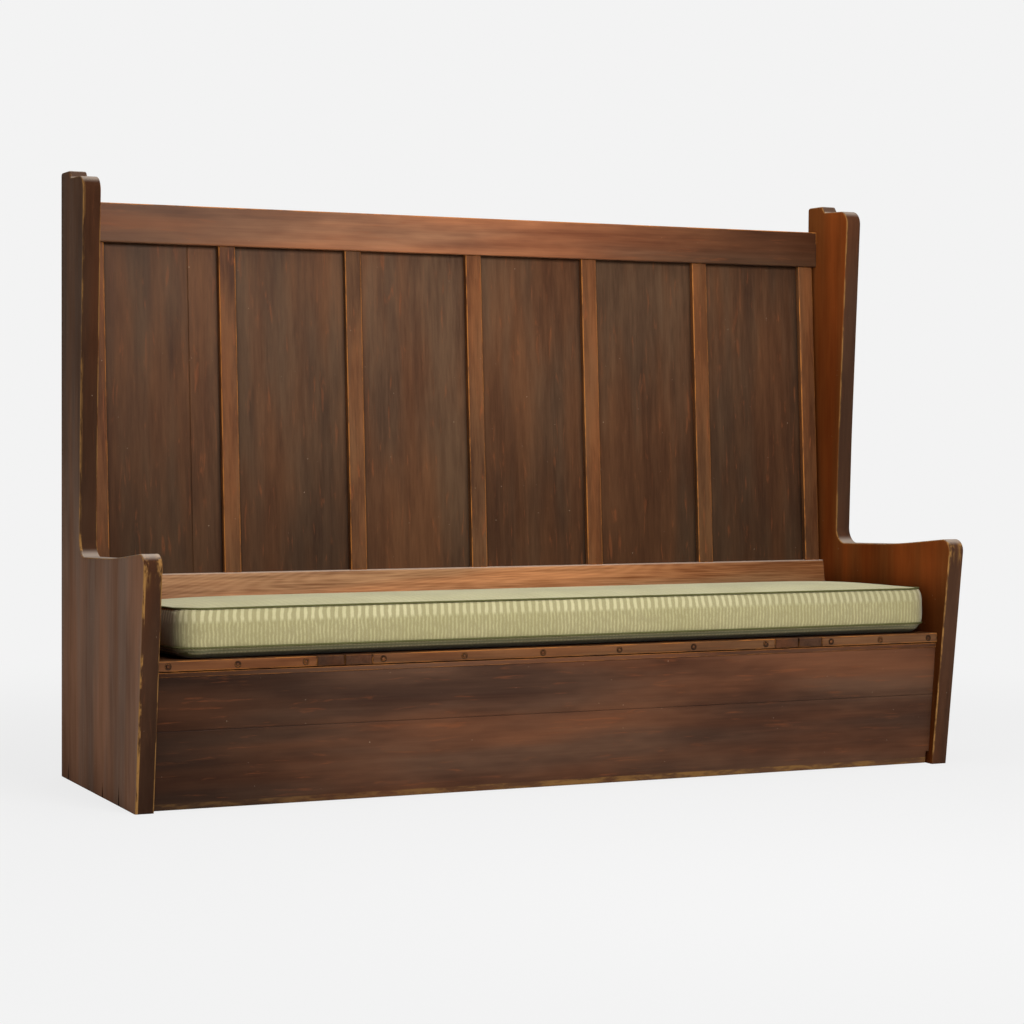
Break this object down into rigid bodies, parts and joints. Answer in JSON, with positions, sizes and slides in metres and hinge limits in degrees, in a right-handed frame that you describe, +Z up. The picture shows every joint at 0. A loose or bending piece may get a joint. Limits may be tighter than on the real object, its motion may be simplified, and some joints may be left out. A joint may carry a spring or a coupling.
{
  "type": "settle bench",
  "caption": "High-backed wooden settle bench with a box seat, a hinged seat lid and a loose box cushion.",
  "frame": {"origin": "on the floor, midway between the two end panels and midway between the back edge and the foremost point of the arms", "axes": "+Z up, +X along the bench to the right seen from the front, -Y towards the sitter's front"},
  "size_m": [2.056, 0.6672, 1.4],
  "materials": {
    "stained_wood": "dark red-brown stain, satin wax",
    "worn_wood": "rubbed, warmer brown, satin",
    "end_grain_wood": "dark end grain, satin",
    "peg_wood": "dark peg ends, satin",
    "inner_wood": "unpolished, matt",
    "hinge_brass": "aged",
    "cushion_fabric": "sage green woven stripe with a twill ground"
  },
  "bodies": {
    "frame": {"back_bearer": "inner_wood", "back_board_1": "stained_wood", "back_board_2": "stained_wood", "back_board_3": "stained_wood", "back_board_4": "stained_wood", "back_board_5": "stained_wood", "back_board_6": "stained_wood", "back_board_7": "stained_wood", "batten_1": "stained_wood", "batten_2": "stained_wood", "batten_3": "stained_wood", "batten_4": "stained_wood", "batten_5": "stained_wood", "batten_6": "stained_wood", "batten_7": "stained_wood", "box_floor_front": "inner_wood", "box_floor_rear": "inner_wood", "cross_bearer_left": "inner_wood", "cross_bearer_right": "inner_wood", "end_bearer_left": "inner_wood", "end_bearer_right": "inner_wood", "end_panel_left": "stained_wood", "end_panel_right": "stained_wood", "floor_bearer_back": "inner_wood", "floor_bearer_front": "inner_wood", "front_bearer": "inner_wood", "front_board_lower": "stained_wood", "front_board_upper": "stained_wood", "front_top_strip": "stained_wood", "hinge_leaves_fixed": "hinge_brass", "low_rail": "worn_wood", "nosing_left": "worn_wood", "nosing_pegs_left": "peg_wood", "nosing_pegs_right": "peg_wood", "nosing_right": "worn_wood", "seat_board_left": "stained_wood", "seat_board_right": "stained_wood", "seat_cleat_left": "end_grain_wood", "seat_cleat_right": "end_grain_wood", "seat_rear_board": "stained_wood", "top_rail": "stained_wood"},
    "lid": {"hinge_leaves_moving": "hinge_brass", "hinge_pins": "hinge_brass", "lid_batten_left": "inner_wood", "lid_batten_right": "inner_wood", "lid_board_front": "stained_wood", "lid_board_rear": "stained_wood", "lid_cleat_left": "end_grain_wood", "lid_cleat_right": "end_grain_wood", "nosing_lid": "worn_wood", "nosing_pegs_lid": "peg_wood"},
    "cushion": {"cushion": "cushion_fabric"}
  },
  "joints": [
    {"name": "lid_hinge", "type": "hinge", "parent": "frame", "child": "lid", "pos_m": [0.016, 0.17159, 0.3069], "axis": [-1, 0, 0], "range_deg": [0, 98]},
    {"name": "cushion_lift", "type": "slide", "parent": "frame", "child": "cushion", "axis": [0, 0, 1], "range_m": [0, 0.87]}
  ],
  "couplings": [
    {"joint": "cushion_lift", "follows": "lid_hinge", "m_per_rad": 0.5}
  ]
}
